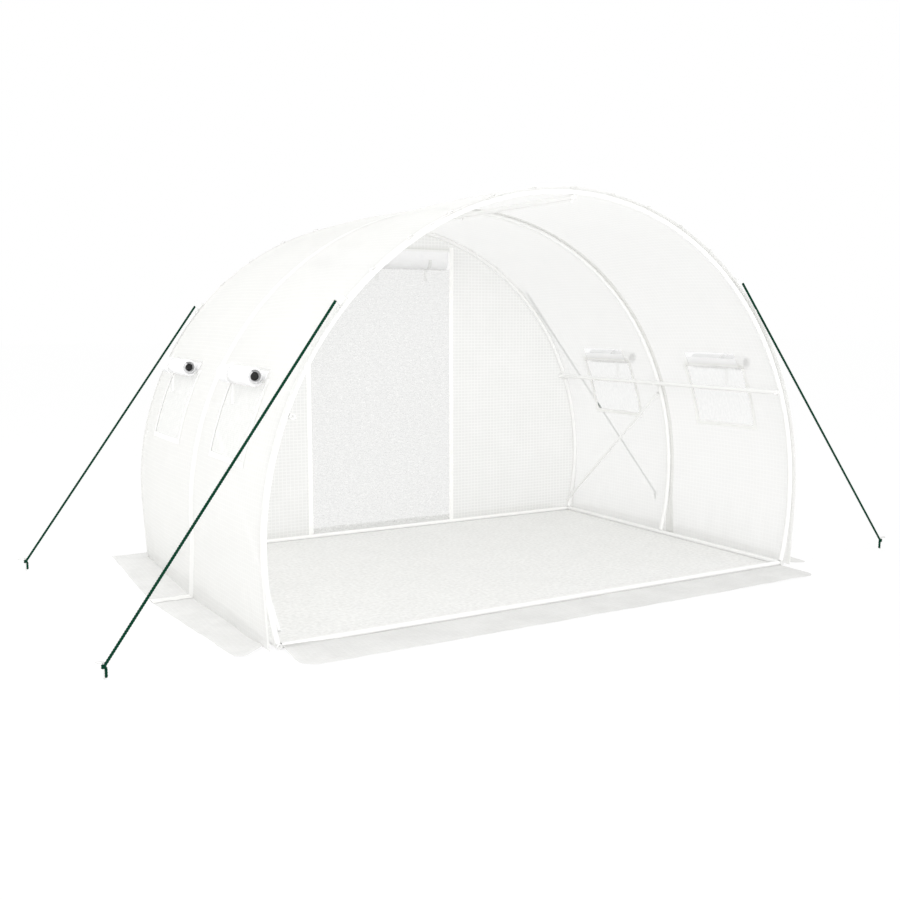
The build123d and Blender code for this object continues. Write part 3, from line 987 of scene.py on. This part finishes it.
door_roll_y, door_roll_z = (flap_low.y + flap_high.y) / 2, (flap_low.z + flap_high.z) / 2
door_roll_radius = (flap_high.z - flap_low.z) / 2 - 0.001
door_roll_end = flap_high.x
door_roll_hem = 0.006
door_turns = 6.5
door_core = 0.02
door_wound = math.tau * door_turns
door_wound_run = door_wound * (door_roll_radius + door_core) / 2
door_tail = 0.07
strap_tail = 0.07
strap_places = (-0.36, 0.0, 0.36)


def wind_door(x, s):
    """Across the rolled door: down from the header, then round and round inwards."""
    tied = sum(math.exp(-(((x - place) / 0.03) ** 2)) for place in strap_places)
    slack = 0.002 * soft(s * 5, x * 4, 9.0)
    if s < door_tail:
        return (x, door_roll_y - door_roll_radius, door_roll_z + door_tail - s)
    share = (s - door_tail) / door_wound_run
    radius = door_roll_radius + (door_core - door_roll_radius) * share
    radius = radius * (1 - 0.05 * min(1.0, tied)) + slack
    angle = math.pi + door_wound * share
    shift = 0.006 * soft(s * 9, 3.3) * abs(x) / door_roll_end
    return (x + shift, door_roll_y + radius * math.cos(angle), door_roll_z + radius * math.sin(angle))


# The door flap is the same lighter cloth: painted light for its pale roll.
door_roll = lay_cloth(
    "rear_door_flap",
    steps(door_roll_hem - door_roll_end, door_roll_end - door_roll_hem, 0.02),
    steps(0, door_tail + door_wound_run, 0.01),
    wind_door,
    lit_flap_cloth,
)
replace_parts(door_roll, "rear_door_roll")

door_strap_run = math.tau * door_roll_radius
for number, place in enumerate(strap_places):

    def door_strap(x, s):
        """Round the door flap once, then down as a loose end."""
        radius = door_roll_radius * 0.95 + 0.003
        if s <= door_strap_run:
            angle = math.pi + s / door_roll_radius
            return (x, door_roll_y + radius * math.cos(angle), door_roll_z + radius * math.sin(angle))
        drop = s - door_strap_run
        return (x, door_roll_y + 0.01, door_roll_z - radius - 0.001 - drop)

    strap = lay_cloth(
        "door_strap_" + str(number + 1),
        steps(place - roll_strap_wide / 2, place + roll_strap_wide / 2, 0.006),
        steps(0, door_strap_run, 0.008)
        + steps(door_strap_run + tail_slit, door_strap_run + strap_tail, 0.01),
        door_strap,
        strap_webbing,
        cut=lambda x, s: door_strap_run < s < door_strap_run + tail_slit,
    )


# Rope tabs. A triangle of webbing with a grey metal eyelet is sewn into each end
# hem, where a guy rope pulls on it.

tab_angles = {"left": 41.0, "right": 46.5}
tab_height = 0.035
tab_seat = cover_out + 0.0013
eyelet_out = tab_seat + tab_height
eyelet_hole = 0.0065
tab_half = 0.03
tab_round = 0.014
tab_shoulder, tab_shoulder_spread = 0.3, 0.954
eyelet_wide, eyelet_thick = 0.0016, 0.0017
tab_places = {}


def tab_rim(angle):
    """The tab's outline: round beyond its eyelet, and straight where it is sewn on."""
    outward, spread = math.cos(angle), math.sin(angle)
    if outward < -tab_shoulder:
        return -tab_height, tab_half * spread / tab_shoulder_spread
    return tab_round * outward, tab_round * spread


for ending in ("left_front", "right_front", "left_rear", "right_rear"):
    side_name = ending.split("_")[0]
    low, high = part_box("guy_rope_" + ending)
    turned_up = math.radians(tab_angles[side_name])
    out = Vector((math.cos(turned_up) * (-1 if side_name == "left" else 1), 0, math.sin(turned_up)))
    along = Vector((-out.z, 0, out.x))
    hole = Vector((0, (low.y + high.y) / 2, axis_z)) + out * eyelet_out
    tab_places[ending] = hole

    shape = bmesh.new()
    inner, outer = [], []
    for i in range(24):
        angle = math.tau * i / 24
        outward, spread = tab_rim(angle)
        spoke = out * math.cos(angle) + along * math.sin(angle)
        inner.append(shape.verts.new(hole + spoke * eyelet_hole))
        outer.append(shape.verts.new(hole + out * outward + along * spread))
    bridge(shape, outer, inner)
    thicken(make_piece("rope_tab_" + ending, shape, white_webbing))

    shape = bmesh.new()
    rims = []
    for i in range(28):
        spoke = out * math.cos(math.tau * i / 28) + along * math.sin(math.tau * i / 28)
        rim = []
        for k in range(10):
            reach = eyelet_hole + 0.0012 + eyelet_wide * math.cos(math.tau * k / 10)
            stand_off = eyelet_thick * math.sin(math.tau * k / 10)
            rim.append(shape.verts.new(hole + spoke * reach + Vector((0, stand_off, 0))))
        rims.append(rim)
    for before, after in zip(rims, rims[1:] + rims[:1]):
        bridge(shape, after, before)
    make_piece("eyelet_" + ending, shape, zinc_plate)


# Guy ropes. Dark green three-strand rope is threaded through each eyelet, runs
# straight and tight to its peg, and is knotted there with its tail down the
# peg's neck.

strand_radius = 0.0035
strand_orbit = 0.0034
lay_pitch = 0.034
rope_ring = 0.0095
loop_girth = 0.7
knot_radius = 0.0062
knot_pitch = 0.0085
knot_girth = 0.75
rope_foot = 0.05
peg_radius = 0.0035


def twisted():
    """Three-strand polypropylene: dark green, slightly shiny, with hair-fine threads."""
    finish = Finish("green_rope")
    where = finish.place()
    fibres = finish.cloud(where, 0.0012, 2)
    faded = finish.cloud(where, 0.12, 3)
    mottling = 0.6 * faded + 0.4 * fibres
    colour = finish.blend(mottling, (0.0005, 0.026, 0.012), (0.002, 0.056, 0.028))
    others = {"Specular IOR Level": 0.05, "Normal": finish.bump(fibres, 0.0004)}
    return finish.surface(finish.skin(colour, 0.42 + 0.2 * fibres, others))


green_rope = twisted()


def rope_along(name, path, closed=False, girth=1.0):
    """Three strands twisted round a path given as points a few millimetres apart."""
    shape = bmesh.new()
    count, run = len(path), 0.0
    side = Vector((0, 1, 0))
    frames = []
    for i, point in enumerate(path):
        before = path[i - 1] if i or closed else path[0]
        after = path[(i + 1) % count] if i < count - 1 or closed else path[-1]
        way = (after - before).normalized()
        side = (side - way * side.dot(way)).normalized()
        frames.append((point, side, way.cross(side), run))
        if i < count - 1:
            run += (path[i + 1] - point).length
    around = [math.tau * k / 7 for k in range(7)]
    for strand in range(3):
        rings = []
        for point, side, lift, run in frames:
            twist = math.tau * (run / lay_pitch + strand / 3)
            centre = point + (side * math.cos(twist) + lift * math.sin(twist)) * strand_orbit * girth
            spokes = [(side * math.cos(a) + lift * math.sin(a)) * strand_radius * girth for a in around]
            rings.append([shape.verts.new(centre + spoke) for spoke in spokes])
        for before, after in zip(rings, rings[1:]):
            bridge(shape, before, after)
        if closed:
            bridge(shape, rings[-1], rings[0])
        else:
            shape.faces.new(rings[0][::-1])
            shape.faces.new(rings[-1])
    return make_piece(name, shape, green_rope)


def straight(start, end, size=0.004):
    """Points from one place to another."""
    return [start.lerp(end, share) for share in steps(0, 1, size / (end - start).length)]


for ending in sorted(tab_places):
    side = -1 if ending.startswith("left") else 1
    hole = tab_places[ending]
    peg_low, peg_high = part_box("peg_" + ending)
    peg_x = peg_high.x - peg_radius if side < 0 else peg_low.x + peg_radius
    knot = Vector((peg_x, hole.y, rope_foot))
    way = (knot - hole).normalized()
    ring_middle = hole + way * (rope_ring + 0.0012)
    taut = straight(ring_middle + way * rope_ring, knot - way * 0.004)
    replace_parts(rope_along("guy_rope_run_" + ending, taut), "guy_rope_" + ending)

    around = [math.tau * i / 24 for i in range(24)]
    loop = [ring_middle + (way * math.cos(a) + Vector((0, math.sin(a), 0))) * rope_ring for a in around]
    rope_along("guy_rope_loop_" + ending, loop, True, loop_girth)

    neck = knot + Vector((-side * 0.007, 0, -0.004))
    rope_along("guy_rope_tail_" + ending, straight(neck, Vector((neck.x, neck.y, 0.006))))

    turns = []
    for i in range(38):
        angle = math.tau * i / 16
        climb = 0.002 + knot_pitch * (i / 16 - 1.2)
        turns.append(knot + Vector((knot_radius * math.cos(angle), knot_radius * math.sin(angle), climb)))
    rope_along("guy_rope_knot_" + ending, turns, False, knot_girth)


# Pegs. Bent wire hooks of galvanised steel stand in the ground, with the arm of
# the hook turned away from the tunnel.

def galvanised():
    """Dull galvanised wire with a fine spangle."""
    finish = Finish("galvanised_wire")
    spangle = finish.cloud(finish.place(), 0.004, 3)
    colour = finish.blend(spangle, (0.62, 0.62, 0.61), (0.8, 0.8, 0.79))
    others = {"Metallic": 0.85, "Normal": finish.bump(spangle, 0.0002)}
    return finish.surface(finish.skin(colour, 0.32 + 0.22 * spangle, others))


dress(["peg_" + ending for ending in tab_places], galvanised())


# Studio floor, light and camera. The floor is pale and keeps the shadow, the
# light is broad and soft, and the camera stands at the front left, 1.4 m above
# the ground.

floor_half = 60
floor_mesh = bpy.data.meshes.new("studio_floor")
corners = [(floor_half * x, floor_half * y, -0.001) for x, y in ((-1, -1), (1, -1), (1, 1), (-1, 1))]
floor_mesh.from_pydata(corners, [], [(0, 1, 2, 3)])
floor = bpy.data.objects.new("studio_floor", floor_mesh)
bpy.context.scene.collection.objects.link(floor)
paper = Finish("studio_paper")
matt = paper.node("BsdfDiffuse", None, {"Color": (0.97, 0.97, 0.97, 1)})
glow = paper.node("Emission", None, {"Color": (1, 1, 1, 1), "Strength": 1.0})
seen = paper.node("LightPath", out="Is Camera Ray")
floor_mesh.materials.append(paper.surface(paper.node("MixShader", None, {0: seen * 0.85, 1: matt, 2: glow})))

world = bpy.data.worlds.new("studio")
world.use_nodes = True
bpy.context.scene.world = world
sky = world.node_tree.nodes["Background"]
sky.inputs["Color"].default_value = (1, 1, 1, 1)
sky.inputs["Strength"].default_value = 1.0

for lamp_name, power, place in (
    ("key_softbox", 98, (-5.0, 0.2, 4.4)),
    ("front_softbox", 420, (-2.5, -11.0, 3.6)),
):
    lamp = bpy.data.lights.new(lamp_name, "AREA")
    lamp.energy = power
    lamp.size = 4.0
    softbox = bpy.data.objects.new(lamp_name, lamp)
    softbox.location = place
    softbox.rotation_mode = "QUATERNION"
    softbox.rotation_quaternion = (Vector((0, 0, 0.6)) - softbox.location).to_track_quat("-Z", "Y")
    bpy.context.scene.collection.objects.link(softbox)

camera_data = bpy.data.cameras.new("camera")
camera_data.lens = 41.2
camera_data.sensor_width = 36
camera = bpy.data.objects.new("camera", camera_data)
camera.location = (-2.9875, -5.0023, 1.3747)
yaw, tilt = 0.5262, -0.1251
aim = Vector((math.sin(yaw) * math.cos(tilt), math.cos(yaw) * math.cos(tilt), math.sin(tilt)))
camera.rotation_mode = "QUATERNION"
camera.rotation_quaternion = aim.to_track_quat("-Z", "Y")
bpy.context.scene.collection.objects.link(camera)
bpy.context.scene.camera = camera
bpy.context.scene.view_settings.view_transform = "Standard"
